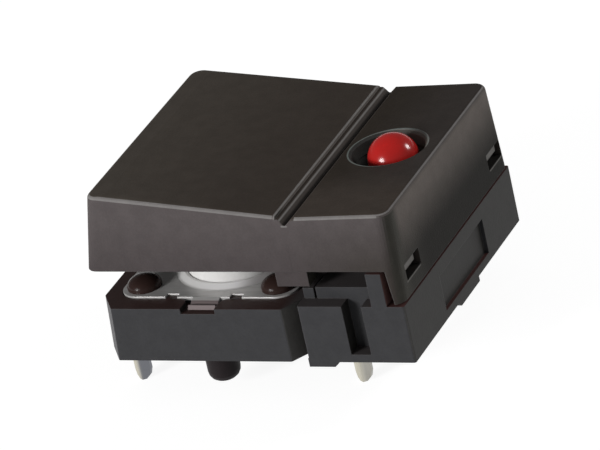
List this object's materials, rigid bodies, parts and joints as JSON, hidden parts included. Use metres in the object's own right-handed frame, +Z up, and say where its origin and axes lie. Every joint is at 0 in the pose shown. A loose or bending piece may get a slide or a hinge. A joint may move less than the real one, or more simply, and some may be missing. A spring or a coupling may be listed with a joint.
{
  "type": "tactile push button switch",
  "caption": "Low square push button switch for a circuit board, with a wide rocking keycap in two sloping planes, a small round lamp in a hole in the cap, folded terminals and a locating peg.",
  "frame": {"origin": "on the locating peg's axis, at the board's surface, where the housing's feet stand", "axes": "+Z up from the board, +X right towards the lamp and the keycap's pivot, +Y to the back"},
  "size_m": [0.0178, 0.0156, 0.0117],
  "materials": {
    "base_housing": "moulded, dark charcoal, satin sides",
    "cover_plate": "stamped, satin",
    "plunger": "moulded, off-white",
    "snap_dome": "thin spring steel",
    "ring_contact": "stamped, silver-plated",
    "middle_contact": "stamped, silver-plated",
    "lamp_lens": "clear red resin",
    "lamp_anode": "tinned lead",
    "lamp_cathode": "tinned lead",
    "keycap": "fine matte moulding, warm dark grey"
  },
  "bodies": {
    "housing": {"base_housing": "base_housing", "cover_plate": "cover_plate", "snap_dome": "snap_dome", "ring_contact": "ring_contact", "middle_contact": "middle_contact", "lamp_lens": "lamp_lens", "lamp_anode": "lamp_anode", "lamp_cathode": "lamp_cathode"},
    "key": {"keycap": "keycap"},
    "button": {"plunger": "plunger"}
  },
  "joints": [
    {"name": "keycap_rock", "type": "hinge", "parent": "housing", "child": "key", "pos_m": [0.01135, 0.00615, 0.00504], "axis": [0, -1, 0], "range_deg": [0, 2.6], "stiffness_Nm_per_rad": 0.35},
    {"name": "plunger_slide", "type": "slide", "parent": "housing", "child": "button", "axis": [0, 0, -1], "range_m": [0, 0.0005], "deforming": ["snap_dome"]}
  ],
  "couplings": [
    {"joint": "plunger_slide", "follows": "keycap_rock", "m_per_rad": 0.0109}
  ]
}
